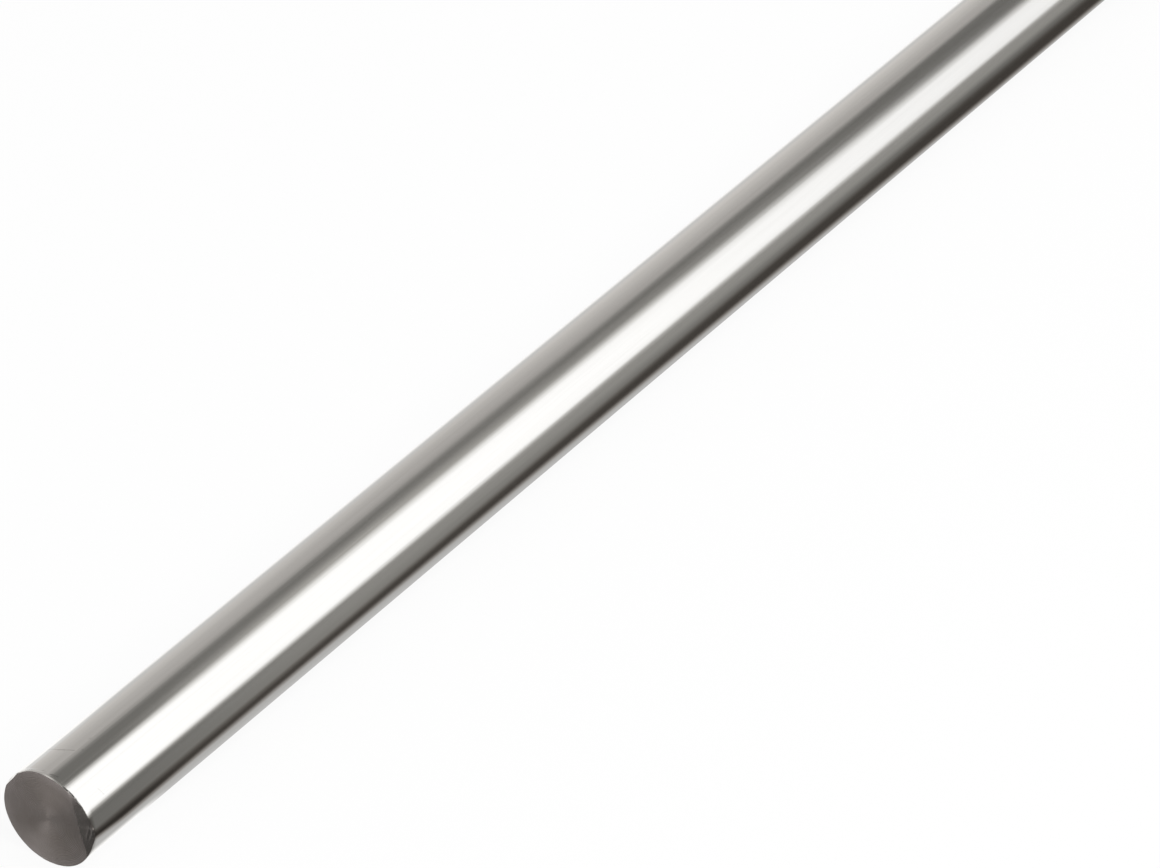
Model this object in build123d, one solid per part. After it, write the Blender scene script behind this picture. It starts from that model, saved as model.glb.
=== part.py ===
from build123d import *
import os

# Bright-drawn aluminium round bar, one cut length lying on its side.
# Millimetres. +X runs along the bar, +Z is up, and the origin is on the
# ground under the middle of the bar.

# Driving sizes
rod_diameter = 20.0
rod_length = 500.0
near_edge_break = 0.3  # 45 degree break left round the turned face that is seen
far_edge_break = 0.3  # the same break on the other cut

# Places that follow from them
rod_radius = rod_diameter / 2
half_length = rod_length / 2
axis_height = rod_radius  # the bar rests on the lowest line of its barrel


# The drawn section, seen along the bar
def drawn_section():
    section_plane = Plane(origin=(-half_length, 0, axis_height), z_dir=(1, 0, 0))
    return section_plane * Circle(rod_radius)


# The bar cut to length, with both faced ends lightly broken at the rim
def round_bar():
    bar = extrude(drawn_section(), amount=rod_length)
    rims = bar.edges().filter_by(GeomType.CIRCLE).sort_by(Axis.X)
    bar = chamfer(rims.first, near_edge_break)
    far_rim = bar.edges().filter_by(GeomType.CIRCLE).sort_by(Axis.X).last
    return chamfer(far_rim, far_edge_break)


os.makedirs("parts", exist_ok=True)
export_step(round_bar(), "parts/round_rod.step")
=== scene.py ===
import math
import bpy
import bmesh
from mathutils import Matrix, Vector, noise


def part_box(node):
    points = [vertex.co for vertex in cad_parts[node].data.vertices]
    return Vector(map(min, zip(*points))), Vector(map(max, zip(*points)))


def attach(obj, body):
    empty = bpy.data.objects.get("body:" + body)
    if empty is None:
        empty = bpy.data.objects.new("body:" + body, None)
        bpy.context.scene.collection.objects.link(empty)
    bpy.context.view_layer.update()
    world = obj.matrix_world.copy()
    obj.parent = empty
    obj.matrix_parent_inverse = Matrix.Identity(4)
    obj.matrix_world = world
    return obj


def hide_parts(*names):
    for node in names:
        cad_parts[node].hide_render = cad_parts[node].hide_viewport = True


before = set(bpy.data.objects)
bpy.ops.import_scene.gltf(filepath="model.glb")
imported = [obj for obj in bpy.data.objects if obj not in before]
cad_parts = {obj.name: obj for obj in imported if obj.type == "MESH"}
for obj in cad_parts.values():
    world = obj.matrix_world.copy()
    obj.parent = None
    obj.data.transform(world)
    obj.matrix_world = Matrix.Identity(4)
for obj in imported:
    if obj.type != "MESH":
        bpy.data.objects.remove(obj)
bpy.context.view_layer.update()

rodLow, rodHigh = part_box("round_rod")
radius = (rodHigh.z - rodLow.z) / 2
nearEnd = rodLow.x  # the cut end that the picture shows
farEnd = rodHigh.x
axisHeight = (rodHigh.z + rodLow.z) / 2
mm = 0.001


class Wire:
    # a shader socket that Python maths works on: each sign adds one Math node
    def __init__(self, board, socket):
        self.board = board
        self.socket = socket

    def __add__(self, other):
        return self.board.maths("ADD", self, other)

    def __radd__(self, other):
        return self.board.maths("ADD", other, self)

    def __sub__(self, other):
        return self.board.maths("SUBTRACT", self, other)

    def __rsub__(self, other):
        return self.board.maths("SUBTRACT", other, self)

    def __mul__(self, other):
        return self.board.maths("MULTIPLY", self, other)

    def __rmul__(self, other):
        return self.board.maths("MULTIPLY", other, self)

    def __truediv__(self, other):
        return self.board.maths("DIVIDE", self, other)


class Board:
    # the node tree of one material or of the world
    def __init__(self, tree):
        self.tree = tree
        tree.nodes.clear()

    def node(self, kind, settings=None, sockets=None):
        made = self.tree.nodes.new("ShaderNode" + kind)
        for name, value in (settings or {}).items():
            setattr(made, name, value)
        for name, value in (sockets or {}).items():
            if isinstance(value, Wire):
                self.tree.links.new(value.socket, made.inputs[name])
            else:
                made.inputs[name].default_value = value
        return made

    def out(self, kind, output, settings=None, sockets=None):
        return Wire(self, self.node(kind, settings, sockets).outputs[output])

    def split(self, vector):
        parts = self.node("SeparateXYZ", {}, {"Vector": vector})
        return [Wire(self, parts.outputs[name]) for name in "XYZ"]

    def maths(self, operation, first, second=0.0):
        return self.out("Math", 0, {"operation": operation}, {0: first, 1: second})

    def vector(self, operation, first, second=(0.0, 0.0, 0.0), output=0):
        return self.out("VectorMath", output, {"operation": operation}, {0: first, 1: second})

    def stretch(self, vector, factor):
        return self.out("VectorMath", 0, {"operation": "SCALE"}, {0: vector, "Scale": factor})

    def step(self, value, low, high, soft="SMOOTHSTEP"):
        # 0 below low and 1 above high
        settings = {"interpolation_type": soft}
        return self.out("MapRange", 0, settings, {"Value": value, "From Min": low, "From Max": high})

    def grain(self, vector, detail, rough):
        # noise about 0, from -0.5 to 0.5
        sockets = {"Vector": vector, "Scale": 1.0, "Detail": detail, "Roughness": rough}
        return self.out("TexNoise", 0, {}, sockets) - 0.5

    def blend(self, factor, first, second):
        sockets = {0: factor, 6: first, 7: second}
        return self.out("Mix", 2, {"data_type": "RGBA"}, sockets)

    def fromAxis(self):
        # the place on the rod, with its axis as the X axis
        place = self.out("TexCoord", "Object")
        return self.out("Mapping", 0, {}, {"Vector": place, "Location": (0, 0, -axisHeight)})

    def pressedAndShaded(self):
        # 1 where the metal was pressed over, which mashRim writes on the mesh, and where its colour is
        # painted darker as shade
        return self.out("Attribute", "Fac", {"attribute_name": "pressedAndShaded"})


def newMaterial(name):
    material = bpy.data.materials.new(name)
    material.use_nodes = True
    return material, Board(material.node_tree)


def grey(level):
    return (level, level, level, 1.0)


def keepMesh(bm, name, materials=()):
    mesh = bpy.data.meshes.new(name)
    bm.to_mesh(mesh)
    bm.free()
    piece = bpy.data.objects.new(name, mesh)
    bpy.context.scene.collection.objects.link(piece)
    for material in materials:
        mesh.materials.append(material)
    return piece


print("camera")
cameraPlace = {
    "aim": (-0.09625, -0.01115, 0.010),
    "turn": -55.641,  # degrees round the rod's middle, 0 looks along +Y
    "rise": 35.130,
    "distance": 1.2244,
    "lens": 193.76,
    "clip": (0.05, 60),
}


def makeCamera(place):
    data = bpy.data.cameras.new("camera")
    data.lens = place["lens"]
    data.clip_start, data.clip_end = place["clip"]
    camera = bpy.data.objects.new("camera", data)
    turn = math.radians(place["turn"])
    rise = math.radians(place["rise"])
    back = Vector((math.sin(turn) * math.cos(rise), -math.cos(turn) * math.cos(rise), math.sin(rise)))
    camera.location = Vector(place["aim"]) + back * place["distance"]
    camera.rotation_euler = (-back).to_track_quat("-Z", "Y").to_euler()
    bpy.context.scene.collection.objects.link(camera)
    bpy.context.scene.camera = camera


makeCamera(cameraPlace)

print("finishes")
marksAndShadeLook = {
    "width": 0.17 * mm,
    # each from and to, as mm from the cut end and degrees round from the top, and how much it shows
    "strokes": [
        ((8.0, 35), (7.65, 18), 0.30),  # the scratch across the barrel
        ((7.65, 18), (8.0, 10), 0.60),
        ((8.0, 10), (8.7, 1), 0.30),
        ((9.7, -5.0), (9.8, -6.0), 0.55),
        ((13.0, 0.8), (13.1, -0.4), 0.30),
        ((0.9, -4), (1.15, -12), 0.75),  # nicks just behind the rim
        ((0.75, -3), (0.80, -9), 0.45),
        # painted shade: a dark line just behind the rim, for the dark reflection of a small groove there
        ((0.70, 37), (0.42, 19), 0.65),
        ((0.42, 19), (1.0, 6), 0.35),
        ((5.6, -48), (6.1, -57), 0.12),
    ],
}


def barrelSpot(far, turn):
    # a place on the unrolled barrel
    return Vector((nearEnd + far * mm, math.radians(turn) * radius, 0))


def faceSpot(share, turn):
    # a place on the cut face, by its share of the radius
    return Vector((0, math.sin(math.radians(turn)), math.cos(math.radians(turn)))) * share * radius


def strokeMask(board, spot, first, last, width):
    # 1 on the line from first to last, 0 past its width
    way = (last - first).normalized()
    reach = (last - first).length
    fromStart = board.vector("SUBTRACT", spot, first)
    along = board.vector("DOT_PRODUCT", fromStart, way, output=1)
    along = board.maths("MINIMUM", board.maths("MAXIMUM", along, 0.0), reach)
    aside = board.vector("SUBTRACT", fromStart, board.stretch(way, along))
    return 1 - board.step(board.vector("LENGTH", aside, output=1), 0.0, width)


def strokes(board, spot, placeOf, look):
    shade = 0.0
    for start, finish, shown in look["strokes"]:
        mask = strokeMask(board, spot, placeOf(*start), placeOf(*finish), look["width"])
        shade = board.maths("MAXIMUM", mask * shown, shade)
    return shade


drawnLook = {
    "bright": (0.925, 0.92, 0.91, 1.0),
    "dull": (0.83, 0.82, 0.80, 1.0),
    "tone": 0.5,  # from dull to bright, before the draw lines change it
    "toneSpread": 0.8,
    "roughness": 0.165,
    "roughnessSpread": 0.10,
    "broadShare": 0.5,  # how much of the broad draw lines that spread has
    "polish": 0.05,  # less rough beside the cut end
    "polishPlaces": (0.012, 0.045),  # in metres from it
    "detail": 3.0,
    "detailRough": 0.6,
    "fineWidth": 0.30 * mm,  # the draw lines, far longer than wide
    "fineLength": 55 * mm,
    "fineDepth": 0.005,  # in mm
    "broadWidth": 1.5 * mm,
    "broadLength": 240 * mm,
    "broadDepth": 0.016,
    # dark for the scratch and the nicks, and for the painted shade line behind the rim
    "scarAndShadeColor": (0.20, 0.19, 0.175, 1.0),
    "scarRoughness": 0.30,  # added where the skin is marked
    # painted shade: the barrel just behind the mashed rim is coloured dark for the dark it reflects
    # there
    "pressedShadeColor": (0.28, 0.255, 0.235, 1.0),
}


def drawnFinish(look, marks):
    material, board = newMaterial("drawnBarrel")
    middle = board.fromAxis()
    layers = []
    for size in ("fine", "broad"):
        wide = 1 / look[size + "Width"]
        long = 1 / look[size + "Length"]
        drawn = board.vector("MULTIPLY", middle, (long, wide, wide))
        layers.append(board.grain(drawn, look["detail"], look["detailRough"]))
    fine, broad = layers
    along, across, up = board.split(middle)
    arc = board.maths("ARCTAN2", across, up) * radius
    spot = board.out("CombineXYZ", 0, {}, {"X": along, "Y": arc})
    scarsAndShade = strokes(board, spot, barrelSpot, marks)
    tone = look["tone"] + look["toneSpread"] * (fine + broad)
    skin = board.blend(tone, look["dull"], look["bright"])
    # painted shade where the rim was pressed over
    skin = board.blend(board.pressedAndShaded(), skin, look["pressedShadeColor"])
    color = board.blend(scarsAndShade, skin, look["scarAndShadeColor"])
    roughness = look["roughness"] + look["roughnessSpread"] * (fine + look["broadShare"] * broad)
    polished = 1 - board.step(along - nearEnd, *look["polishPlaces"])
    roughness = roughness + look["scarRoughness"] * scarsAndShade - look["polish"] * polished
    height = fine * look["fineDepth"] + broad * look["broadDepth"]
    bump = board.out("Bump", 0, {}, {"Strength": 1.0, "Distance": mm, "Height": height})
    sockets = {"Base Color": color, "Metallic": 1.0, "Roughness": roughness, "Normal": bump}
    shader = board.out("BsdfPrincipled", 0, {}, sockets)
    board.node("OutputMaterial", {}, {"Surface": shader})
    return material


turnedLook = {
    "pale": (0.75, 0.672, 0.642, 1.0),
    "brown": (0.46, 0.40, 0.36, 1.0),
    "tone": 0.5,  # from brown to pale, before the rest changes it
    "stainAndShade": 5 * mm,
    "stainShown": 0.8,
    "stainDetail": 2.0,
    "stainRough": 0.6,
    "ringDark": 0.155,  # a browner ring half way out
    "ringPlaces": (0.0, 0.30),  # in radii, from its middle
    "ringMiddle": 0.45,
    "rimPale": 0.38,  # paler out at the rim
    "rimPlaces": (0.78, 1.0),
    "roughness": 0.32,
    "feed": 0.30 * mm,  # from one turning mark to the next
    "lean": 0.42,  # how far the sides of the marks tilt
    "waver": 2.2 * mm,
    "waverBy": 9.0,
    "waverDetail": 4.0,
    "pip": 0.5 * mm,  # the marks fade out at the middle
    # painted shade: the pressed crescent of the face is coloured darker for the dark its slope reflects
    "pressedShadeColor": (0.52, 0.475, 0.445, 1.0),
    "pressedSmooth": 0.08,  # less rough where it was pressed
    # the pale colour of the painted highlights on the mashed rim
    "rubGlintColor": (0.86, 0.84, 0.81, 1.0),
    "width": 0.15 * mm,
    # bright rubs on the mashed rim, painted paler as highlights where its ridges catch the light, each
    # from and to as a share of the radius and degrees round
    "strokes": [
        ((0.93, -77), (0.985, -81), 0.50),
        ((0.985, -81), (0.99, -86), 0.70),
        ((0.99, -86), (0.945, -94), 0.50),
    ],
}


def turnedFinish(look):
    material, board = newMaterial("turnedEnd")
    flat = board.vector("MULTIPLY", board.fromAxis(), (0, 1, 1))
    outward = board.vector("NORMALIZE", flat)
    reach = board.vector("LENGTH", flat, output=1)
    sockets = {"W": reach / look["waver"], "Scale": 1.0, "Detail": look["waverDetail"]}
    waver = board.out("TexNoise", 0, {"noise_dimensions": "1D"}, sockets) * look["waverBy"]
    mark = board.maths("SINE", (reach / look["feed"]) * math.tau + waver)
    pressedAndShaded = board.pressedAndShaded()
    lean = mark * look["lean"] * board.step(reach, 0.0, look["pip"]) * (1 - pressedAndShaded)
    faceNormal = board.out("NewGeometry", "Normal")
    leaned = board.vector("ADD", faceNormal, board.stretch(outward, lean))
    stainAndShade = board.grain(board.stretch(flat, 1 / look["stainAndShade"]), look["stainDetail"], look["stainRough"])
    fromRing = board.maths("ABSOLUTE", reach / radius - look["ringMiddle"])
    ring = look["ringDark"] * (1 - board.step(fromRing, *look["ringPlaces"]))
    rim = look["rimPale"] * board.step(reach / radius, *look["rimPlaces"])
    tone = look["tone"] + look["stainShown"] * stainAndShade - ring + rim
    color = board.blend(tone, look["brown"], look["pale"])
    # painted shade on the pressed crescent
    color = board.blend(pressedAndShaded, color, look["pressedShadeColor"])
    # painted highlights along the ridges of the mashed rim
    rubGlints = pressedAndShaded * strokes(board, flat, faceSpot, look)
    color = board.blend(rubGlints, color, look["rubGlintColor"])
    sockets = {
        "Base Color": color,
        "Metallic": 1.0,
        "Roughness": look["roughness"] - look["pressedSmooth"] * pressedAndShaded,
        "Normal": board.vector("NORMALIZE", leaned),
    }
    shader = board.out("BsdfPrincipled", 0, {}, sockets)
    board.node("OutputMaterial", {}, {"Surface": shader})
    return material


print("rod")
rodShape = {
    "sides": 240,
    "edgeBreak": 0.3 * mm,
    "faceRings": (0.0, 0.3, 0.55),  # shares of the radius
    "fineFrom": 0.70,
    "fineStep": 0.12 * mm,
    "rimRings": (0.45, 0.6, 0.8, 1.0, 1.2, 1.5, 1.8, 2.2, 2.7, 3.3),  # mm from the cut face
    "barrelStep": 20 * mm,
    "doubles": 0.001 * mm,
    "flatFrom": 0.9,  # a face that looks this much along the rod is part of a cut end
    "sharpAngle": 30,  # in degrees
}


def endOutline(end, way, shape):
    # the outline from the middle of a cut face out to the barrel
    faceEdge = radius - shape["edgeBreak"]
    fineFrom = shape["fineFrom"] * radius
    count = round((faceEdge - fineFrom) / shape["fineStep"])
    reaches = [share * radius for share in shape["faceRings"]]
    reaches += [fineFrom + (faceEdge - fineFrom) * i / count for i in range(count + 1)]
    outline = [(end, reach) for reach in reaches]
    outline.append((end + way * shape["edgeBreak"], radius))
    return outline + [(end + way * ring * mm, radius) for ring in shape["rimRings"]]


def spinRod(shape):
    near = endOutline(nearEnd, 1, shape)
    far = endOutline(farEnd, -1, shape)
    first = near[-1][0]
    last = far[-1][0]
    steps = round((last - first) / shape["barrelStep"])
    barrel = [(first + (last - first) * i / steps, radius) for i in range(1, steps)]
    bm = bmesh.new()
    corners = [bm.verts.new((x, 0, axisHeight + reach)) for x, reach in near + barrel + far[::-1]]
    edges = [bm.edges.new(pair) for pair in zip(corners, corners[1:])]
    bmesh.ops.spin(
        bm,
        geom=corners + edges,
        cent=(0, 0, axisHeight),
        axis=(1, 0, 0),
        angle=math.tau,
        steps=shape["sides"],
        use_merge=True,
    )
    bmesh.ops.remove_doubles(bm, verts=bm.verts[:], dist=shape["doubles"])
    bmesh.ops.recalc_face_normals(bm, faces=bm.faces[:])
    for face in bm.faces:
        face.smooth = True
        face.material_index = 1 if abs(face.normal.x) > shape["flatFrom"] else 0
    return bm


def turnOf(place):
    # how far round from the top, plus is the far side
    return math.atan2(place.y, place.z - axisHeight)


mapLook = {
    "edge": 0.01,
    "flatFrom": 0.5,  # the edge breaks lie on the map with the cut faces
    "barrelHigh": 0.64,  # of the square map, for the unrolled barrel
    "rimLength": 3.5 * mm,
    "rimWide": 0.035,  # of its width, for each rim
    "discHeight": 0.83,
    "discRadius": 0.155,
}


def layMap(bm, look):
    # a flat map of the skin: the barrel unrolled, and the two cut faces above it
    uv = bm.loops.layers.uv.new("OFBake")
    scale = look["discRadius"] / radius
    for face in bm.faces:
        middle = face.calc_center_median()
        onDisc = abs(face.normal.x) > look["flatFrom"]
        faceTurn = turnOf(middle)
        for loop in face.loops:
            place = loop.vert.co
            if onDisc:
                centre = look["discRadius"] + look["edge"]
                if middle.x > 0:
                    centre = 1 - centre
                up = look["discHeight"] + (place.z - axisHeight) * scale
                loop[uv].uv = (centre + place.y * scale, up)
                continue
            turn = faceTurn + (turnOf(place) - faceTurn + math.pi) % math.tau - math.pi
            inward = farEnd - abs(place.x)
            share = min(inward / look["rimLength"], 1.0) * look["rimWide"]
            past = max(inward - look["rimLength"], 0.0) / (farEnd - look["rimLength"])
            share += past * (0.5 - look["rimWide"])
            along = share if place.x < 0 else 1 - share
            across = (turn / math.tau + 0.5) * look["barrelHigh"]
            loop[uv].uv = (look["edge"] + along * (1 - 2 * look["edge"]), look["edge"] + across)


def ramp(value, start, full):
    # 0 at start, 1 at full
    return min(max((value - start) / (full - start), 0.0), 1.0)


def swell(value, low, full, high):
    # 0 outside low and high, 1 at full, and round in between
    return math.sin(math.pi / 2 * min(ramp(value, low, full), ramp(value, high, full)))


def ease(share):
    # 0 to 1 without a corner at either end
    return share ** 2 * (3 - 2 * share)


burrLook = {
    "turns": (-120, -80, -24),  # degrees round: where the mashed rim starts, is widest and ends
    "width": 0.28,  # of the radius
    "slope": 0.18,
    "crease": 0.07,  # its inner edge, as a share of that width
    "fade": 3.3 * mm,  # how far along the barrel it is felt
    "lip": 0.50 * mm,
    "lipTurns": (-107, -84, -70),
    "lipFade": 0.55 * mm,
    "tuck": 0.15 * mm,  # above the lip the corner is pressed in
    "tuckTurns": (-80, -54, -34),
    "tuckFade": 1.3 * mm,
    "faceShade": (-34, -58),  # where the pressed look and its painted shade start on the face and where they are full
    # where the painted shade starts and is full on the barrel
    "barrelShade": (-61, -68),
    "stainAndShade": 1.4 * mm,  # how far the painted shade runs along the barrel
    "ridges": (0.56, 0.80),  # across the mashed part, from its inner edge
    "ridgeWidth": 0.06,
    "ridgeHeight": 0.10 * mm,
    "ridgeTurns": (-99, -88, -74),
    "ridgeRun": 0.016,  # how much further out they lie for each degree up
    "teeth": 0.10 * mm,
    "toothGrain": 2.2,
    "uneven": 0.12,
    "grain": 9.0,  # degrees from one waver to the next
    "waverSeed": 0.5,
    "toothSeed": 8.5,
    "least": 0.01 * mm,  # a smaller length counts as none
}


def mashRim(bm, look):
    # the last corner to be cut was pressed over: it slopes back, and a lip juts out past the barrel
    # how much painted shade each place on the pressed rim takes, which both finishes read
    pressedAndShaded = bm.verts.layers.float.new("pressedAndShaded")
    for vert in bm.verts:
        inward = vert.co.x - nearEnd
        if inward > look["fade"]:
            continue
        out = Vector((0, vert.co.y, vert.co.z - axisHeight))
        reach = out.length
        turn = math.degrees(turnOf(vert.co))
        waver = 1 + look["uneven"] * noise.noise(Vector((turn / look["grain"], look["waverSeed"], 0)))
        width = look["width"] * radius * swell(turn, *look["turns"]) * waver
        if reach <= radius - width or width < look["least"]:
            continue
        share = (reach - radius + width) / width
        fade = (1 - inward / look["fade"]) ** 2
        back = look["slope"] * width * share * fade
        ridgeTurn = turn - look["ridgeTurns"][1]
        for ridge in look["ridges"]:
            middle = ridge + look["ridgeRun"] * ridgeTurn
            rise = math.exp(-(((share - middle) / look["ridgeWidth"]) ** 2))
            back -= look["ridgeHeight"] * rise * swell(turn, *look["ridgeTurns"]) * waver
        tooth = noise.noise(Vector((turn / look["toothGrain"], look["toothSeed"], 0)))
        back += look["teeth"] * tooth * share ** 3 * fade ** 2
        lipShare = max(1 - inward / look["lipFade"], 0.0)
        lip = look["lip"] * swell(turn, *look["lipTurns"]) ** 2 * share ** 2 * ease(lipShare)
        tuckShare = max(1 - inward / look["tuckFade"], 0.0)
        tuck = look["tuck"] * swell(turn, *look["tuckTurns"]) ** 2 * share ** 3 * tuckShare
        vert.co += Vector((back, 0, 0)) + out.normalized() * (lip * waver - tuck)
        shaded = ramp(turn, *look["barrelShade" if inward > look["least"] else "faceShade"])
        vert[pressedAndShaded] = shaded * ramp(share, 0.0, look["crease"]) * ramp(inward, look["stainAndShade"], 0.0)


rimLook = {
    "breaks": (0.04 * mm, 0.20 * mm),  # the near edge break where it is narrowest and widest
    "widestTurn": -8,  # degrees round
    "spread": 0.04 * mm,  # how unevenly both breaks run
    "grain": 14.0,
    "seeds": ((2.5, 0), (2.5, 7)),  # of the near end and of the far one
    "slack": 1.01,  # so that a ring of the mesh is within its own place
    "nickTurns": (42, 54, 68),
    "nick": 0.28 * mm,
    "flare": 0.09 * mm,  # the near rim stands out a little, most at this turn
    "flareTurn": 115,
    "liftTurns": (-8, 17, 38),  # and more beside the nick
    "lift": 0.18 * mm,
    "liftFade": 1.0 * mm,
}


def wearRim(bm, look, edgeBreak):
    # a hand-filed break, widest on top of the near end, with a nick and a slightly raised edge beside it
    for vert in bm.verts:
        out = Vector((0, vert.co.y, vert.co.z - axisHeight))
        inward = min(vert.co.x - nearEnd, farEnd - vert.co.x)
        if out.length < radius - edgeBreak * look["slack"] or inward > look["liftFade"]:
            continue
        near = vert.co.x < 0
        turn = math.degrees(turnOf(vert.co))
        seed = look["seeds"][0 if near else 1]
        waver = look["spread"] * noise.noise(Vector((turn / look["grain"], *seed)))
        wide = edgeBreak
        nick = 0.0
        if near:
            narrow, widest = look["breaks"]
            share = (1 + math.cos(math.radians(turn - look["widestTurn"]))) / 2
            nick = look["nick"] * swell(turn, *look["nickTurns"])
            wide = narrow + (widest - narrow) * share ** 2 + nick
        shift = edgeBreak - wide + waver
        if inward < edgeBreak / 2:
            vert.co += out.normalized() * shift
        elif inward < edgeBreak * look["slack"]:
            vert.co.x -= shift if near else -shift
        if near:
            flare = look["flare"] * (1 + math.cos(math.radians(turn - look["flareTurn"]))) / 2
            lift = flare + look["lift"] * swell(turn, *look["liftTurns"]) ** 2
            vert.co += out.normalized() * lift * (1 - inward / look["liftFade"])


def makeRod(materials):
    bm = spinRod(rodShape)
    layMap(bm, mapLook)
    wearRim(bm, rimLook, rodShape["edgeBreak"])
    mashRim(bm, burrLook)
    rod = keepMesh(bm, "rodBody", materials)
    rod.data.set_sharp_from_angle(angle=math.radians(rodShape["sharpAngle"]))
    return rod


rod = makeRod([drawnFinish(drawnLook, marksAndShadeLook), turnedFinish(turnedLook)])
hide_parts("round_rod")
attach(rod, "root")

print("stage")
floorLook = {
    "half": 12.0,
    "lift": -0.05 * mm,
    "color": 0.88,
    "glow": 0.90,  # share of plain white that the camera and the metal see in it
}


def litFor(board):
    # 1 for the rays of the camera, of gloss and of glass
    path = board.node("LightPath")
    names = ("Is Camera Ray", "Is Glossy Ray", "Is Transmission Ray")
    rays = [Wire(board, path.outputs[name]) for name in names]
    return board.maths("MINIMUM", rays[0] + rays[1] + rays[2], 1.0)


def makeFloor(look):
    material, board = newMaterial("paleFloor")
    paper = board.out("BsdfDiffuse", 0, {}, {"Color": grey(look["color"])})
    glow = board.out("Emission", 0, {}, {"Color": grey(1.0), "Strength": 1.0})
    mixed = board.out("MixShader", 0, {}, {0: look["glow"] * litFor(board), 1: paper, 2: glow})
    board.node("OutputMaterial", {}, {"Surface": mixed})
    bm = bmesh.new()
    bmesh.ops.create_grid(bm, x_segments=1, y_segments=1, size=look["half"])
    bmesh.ops.translate(bm, verts=bm.verts[:], vec=(0, 0, look["lift"]))
    keepMesh(bm, "floor", [material])


worldLook = {
    "level": 0.65,  # how brightly it lights the rod, while the camera and the metal see it white
}


def makeWorld(look):
    world = bpy.data.worlds.new("world")
    world.use_nodes = True
    bpy.context.scene.world = world
    board = Board(world.node_tree)
    white = board.out("Background", 0, {}, {"Color": grey(1.0), "Strength": 1.0})
    plain = board.out("Background", 0, {}, {"Color": grey(1.0), "Strength": look["level"]})
    mixed = board.out("MixShader", 0, {}, {0: litFor(board), 1: plain, 2: white})
    board.node("OutputWorld", {}, {"Surface": mixed})
    world.cycles.sampling_method = "NONE"


def onlyReflected(card):
    # a studio card that shows in the metal and nowhere else
    card.visible_camera = False
    card.visible_diffuse = False
    card.visible_transmission = False
    card.visible_shadow = False


def glowMaterial(name, light):
    # light takes the material's board and gives its color
    material, board = newMaterial(name)
    glow = board.out("Emission", 0, {}, {"Color": light(board), "Strength": 1.0})
    board.node("OutputMaterial", {}, {"Surface": glow})
    return material


tentLook = {
    "radius": 0.9,
    "length": 3.0,
    "steps": 96,
    "from": -100.0,  # degrees round the rod from straight up, plus is the far side
    "to": 110.0,
    "panelLow": -83.7,  # the bright panel's two long edges
    "panelTop": -13.6,
    "lowSoft": 6.3,
    "topSoft": 8.6,
    "topSofter": 4.0,  # softer as it narrows
    "straight": 0.60,  # metres along the rod before the panel narrows
    "narrowBy": 0.42,  # and the length over which it does
    "lowTaper": 2.4,
    "topTaper": 17.5,
    "panelLevel": 1.17,
    "panelFall": 0.20,
    "gapLevel": 0.165,
    "gapFall": 0.20,  # darker further along
    "gapPlaces": (0.70, 0.95),
    "spill": 0.35,  # a soft glow above the panel
    "spillTurns": (-10.0, 18.0),
    "spillPlaces": (0.44, 0.58, 0.71, 0.86, 1.00),  # none, full, down to its tail, until there, none
    "spillTail": 0.30,
    "panelFrom": (-1.16, -1.02),  # the panel stops there
    "endPlaces": (-0.95, -0.75),  # and what the rim mirrors starts
    "endGlow": 0.22,
    "endTurns": (-24.0, -4.0),
    "endDark": 0.60,
    "wallFrom": (19.5, 13.0),  # beside the cut end and further along
    "wallFull": (42.0, 31.5),
    "wallLevels": (0.425, 0.435),
    "wallFoots": (0.675, 0.77),  # at its foot
    "footFrom": (52.0, 38.0),
    "wallPlaces": (0.64, 0.81),  # along the rod, from the first of each pair above to the second
    "wallGain": 0.05,  # brighter beside the cut end
    "gainPlaces": (0.52, 0.62),
    "frontLevel": 0.25,  # below the panel
    "frontTurns": (-51.0, -50.0),
    "wallTint": (1.0, 0.965, 0.93, 1.0),
    "gapTint": (1.0, 0.975, 0.92, 1.0),
}


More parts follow.
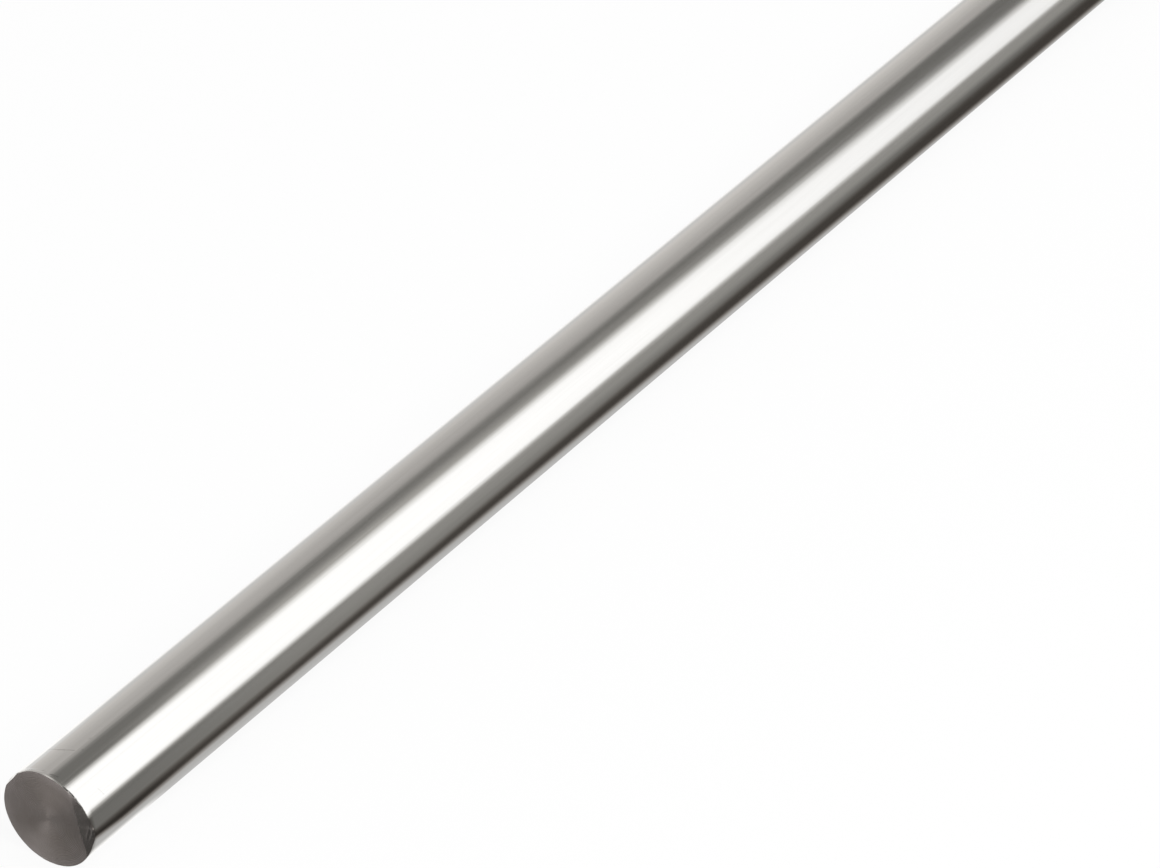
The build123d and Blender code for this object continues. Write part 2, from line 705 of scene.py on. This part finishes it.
def tentLight(board):
    look = tentLook
    along, across, up = board.split(board.fromAxis())
    turn = board.maths("ARCTAN2", across, up) * math.degrees(1)
    farAlong = board.maths("ABSOLUTE", along)
    past = board.step(farAlong, look["straight"], look["straight"] + look["narrowBy"], "LINEAR")
    taper = past * past
    low = look["panelLow"] + look["lowTaper"] * taper
    top = look["panelTop"] - look["topTaper"] * taper
    aboveLow = board.step(turn - low, -look["lowSoft"], look["lowSoft"])
    topSoft = look["topSoft"] + look["topSofter"] * taper
    panel = aboveLow * (1 - board.step(turn - top, -1 * topSoft, topSoft))
    panel = panel * board.step(along, *look["panelFrom"])
    beyond = 1 - board.step(along, *look["endPlaces"])
    rise, full, tail, tailEnd, gone = look["spillPlaces"]
    spill = 1 - (1 - look["spillTail"]) * board.step(farAlong, full, tail)
    spill = spill * board.step(farAlong, rise, full) * (1 - board.step(farAlong, tailEnd, gone))
    spill = look["spill"] * spill * (1 - board.step(turn, *look["spillTurns"])) * (1 - beyond)
    spill = spill + look["endGlow"] * beyond * board.step(turn, *look["endTurns"])
    farther = board.step(farAlong, *look["wallPlaces"])
    names = ("wallFrom", "wallFull", "footFrom", "wallLevels", "wallFoots")
    shifted = [look[name][0] + (look[name][1] - look[name][0]) * farther for name in names]
    wallFrom, wallFull, footFrom, wallLevel, wallFoot = shifted
    wall = board.step(turn, wallFrom, wallFull)
    wallLevel = wallLevel + (wallFoot - wallLevel) * board.step(turn, footFrom, look["to"], "LINEAR")
    wallLevel = wallLevel * (1 + look["wallGain"] * (1 - board.step(farAlong, *look["gainPlaces"])))
    front = 1 - board.step(turn, *look["frontTurns"])
    gap = look["gapLevel"] * (1 - look["gapFall"] * board.step(farAlong, *look["gapPlaces"]))
    gap = gap * (1 - look["endDark"] * beyond)
    dim = gap + wall * (wallLevel - gap) + spill
    dim = dim + front * (look["frontLevel"] - dim)
    level = dim + panel * (look["panelLevel"] - look["panelFall"] * taper - dim)
    cloth = board.blend(wall, look["gapTint"], look["wallTint"])
    return board.stretch(board.blend(panel, cloth, grey(1.0)), level)


def makeTent(look):
    bm = bmesh.new()
    reach = look["length"] / 2
    ends = [bm.verts.new((x, 0, axisHeight + look["radius"])) for x in (-reach, reach)]
    seam = bm.edges.new(ends)
    toStart = Matrix.Rotation(math.radians(-look["from"]), 3, "X")
    bmesh.ops.rotate(bm, verts=ends, cent=(0, 0, axisHeight), matrix=toStart)
    sweep = math.radians(look["from"] - look["to"])
    bmesh.ops.spin(
        bm,
        geom=ends + [seam],
        cent=(0, 0, axisHeight),
        axis=(1, 0, 0),
        angle=sweep,
        steps=look["steps"],
    )
    onlyReflected(keepMesh(bm, "tent", [glowMaterial("tentCloth", tentLight)]))


tableLook = {
    "half": 0.9,
    "lift": -0.02 * mm,
    "underLevel": 0.49,  # right under the rod
    "underRise": 0.05,  # and closer to where it lies, at its near end
    "behindNear": 1.04,  # behind the rod, close to it and far from it
    "behindFar": 0.59,
    "besidePlaces": (0.0, 1.0),  # in radii across the rod, from under it to behind it
    "behindPlaces": (3.0, 8.5),
    "behindGain": 0.20,  # lighter beside the end, up to a slanting edge
    "behindSlant": 0.71,
    "gainPlaces": (0.015, 0.033),
    "gainFrom": (3.0, 5.4),
    "darkLevel": 0.052,  # the strip in front of the rod
    "darkFrom": -1.36,  # its edge beside the rod, which slants in between two places along it
    "slant": 0.46,
    "slantPlaces": (0.07, 0.32),
    "burrShift": 0.20,  # and it moves out under the mashed rim
    "burrPlaces": (0.008, 0.018),
    "endLight": 0.53,  # lighter right under the rod's end
    "endAcross": (-1.05, -0.62),
    "endInner": (-0.46, -0.30),
    "lightPlaces": (0.018, 0.029),
    "lightStart": (0.0, 0.006),
    "endDark": 0.42,  # and darker in the strip, which is a little wider
    "endWide": 0.03,
    "endPlaces": (0.018, 0.042),
    "soft": 0.27,
    "darkTo": -1.70,
    "frontFull": -2.85,
    "frontLevel": 0.26,
    "farShade": 0.50,  # how much darker the front is beside the strip, further along
    "farPlaces": (-5.0, -2.6),
    "farGain": 0.12,
    "nearShade": 0.60,  # the share of its light that it has beside the cut end
    "shadePlaces": (-0.03, 0.08),
    "shadeSlant": 0.95,
    "tint": (1.0, 0.995, 0.985, 1.0),
    "frontTint": (1.0, 0.98, 0.925, 1.0),
    "stripTint": (1.0, 0.89, 0.79, 1.0),
}


def tableLight(board):
    look = tableLook
    along, out = board.split(board.out("TexCoord", "Object"))[:2]
    across = out / radius
    fromEnd = along - nearEnd
    slant = board.step(fromEnd, *look["slantPlaces"], "LINEAR")
    shifted = across + look["burrShift"] * (1 - board.step(fromEnd, *look["burrPlaces"]))
    outer = 1 - board.step(shifted, look["frontFull"], look["darkTo"])
    atEnd = 1 - board.step(fromEnd, *look["endPlaces"])
    inner = look["darkFrom"] + look["slant"] * slant + look["endWide"] * atEnd
    dark = 1 - board.step(shifted - inner, -look["soft"], look["soft"])
    lit = board.step(fromEnd + look["shadeSlant"] * out, *look["shadePlaces"])
    front = look["frontLevel"] * (look["nearShade"] + (1 - look["nearShade"]) * lit)
    front = front * (1 - look["farShade"] * slant * board.step(across, *look["farPlaces"]))
    front = front * (1 + look["farGain"] * slant)
    strip = look["darkLevel"] * (1 - look["endDark"] * atEnd)
    facing = strip + outer * (front - strip)
    away = board.step(across, *look["behindPlaces"])
    behind = look["behindNear"] + away * (look["behindFar"] - look["behindNear"])
    gain = 1 - board.step(fromEnd - look["behindSlant"] * out, *look["gainPlaces"])
    behind = behind * (1 + look["behindGain"] * gain * board.step(across, *look["gainFrom"]))
    close = board.step(across, *look["endAcross"])
    pale = close * (1 - board.step(across, *look["endInner"])) * board.step(fromEnd, *look["lightStart"])
    pale = pale * (1 - board.step(fromEnd, *look["lightPlaces"]))
    under = look["underLevel"] + look["endLight"] * pale + look["underRise"] * close * (1 - slant)
    beside = under + board.step(across, *look["besidePlaces"]) * (behind - under)
    facingTint = board.blend(outer, look["stripTint"], look["frontTint"])
    tint = board.blend(dark, look["tint"], facingTint)
    return board.stretch(tint, beside + dark * (facing - beside))


def makeTable(look):
    # a grey card on the floor, darker in front of the rod
    bm = bmesh.new()
    bmesh.ops.create_grid(bm, x_segments=1, y_segments=1, size=look["half"])
    bmesh.ops.translate(bm, verts=bm.verts[:], vec=(look["half"] + nearEnd, 0, look["lift"]))
    onlyReflected(keepMesh(bm, "tableCard", [glowMaterial("tableGrey", tableLight)]))


endLook = {
    "half": 0.5,
    "lift": 0.01 * mm,
    "tint": (1.0, 1.0, 1.0),
    "levels": (0.053, 0.188),  # in front of the axis and behind it
    "places": (-1.2, 0.8),  # in radii across the rod
    "closeGain": 0.06,  # lighter close to the face
    "closePlaces": (-1.3, -0.3),  # in radii along the rod, from the face
    "frontLevel": 0.17,  # further in front of the rod
    "frontPlaces": (-1.9, -1.3),
}


def endLight(board):
    look = endLook
    along, out = board.split(board.out("TexCoord", "Object"))[:2]
    rise = look["levels"][1] - look["levels"][0]
    close = board.step((along - nearEnd) / radius, *look["closePlaces"])
    level = look["levels"][0] + rise * board.step(out / radius, *look["places"])
    level = level + look["closeGain"] * close
    front = 1 - board.step(out / radius, *look["frontPlaces"])
    return board.stretch(look["tint"], level + front * (look["frontLevel"] - level))


def makeEndCard(look):
    # the darker floor before the cut end
    bm = bmesh.new()
    bmesh.ops.create_grid(bm, x_segments=1, y_segments=1, size=look["half"])
    bmesh.ops.translate(bm, verts=bm.verts[:], vec=(nearEnd - look["half"], 0, look["lift"]))
    onlyReflected(keepMesh(bm, "endCard", [glowMaterial("endGrey", endLight)]))


lampLook = {
    "size": 1.2,
    "watts": 17,
    "place": (-0.2, -1.0, 1.3),
}


def makeLamp(look):
    data = bpy.data.lights.new("softbox", "AREA")
    data.shape = "SQUARE"
    data.size = look["size"]
    data.energy = look["watts"]
    lamp = bpy.data.objects.new("softbox", data)
    lamp.location = look["place"]
    lamp.rotation_euler = (-Vector(look["place"])).to_track_quat("-Z", "Y").to_euler()
    lamp.visible_glossy = False  # the tent stands for it in the metal
    bpy.context.scene.collection.objects.link(lamp)


makeFloor(floorLook)
makeWorld(worldLook)
makeTent(tentLook)
makeTable(tableLook)
makeEndCard(endLook)
makeLamp(lampLook)
bpy.context.scene.view_settings.view_transform = "Standard"
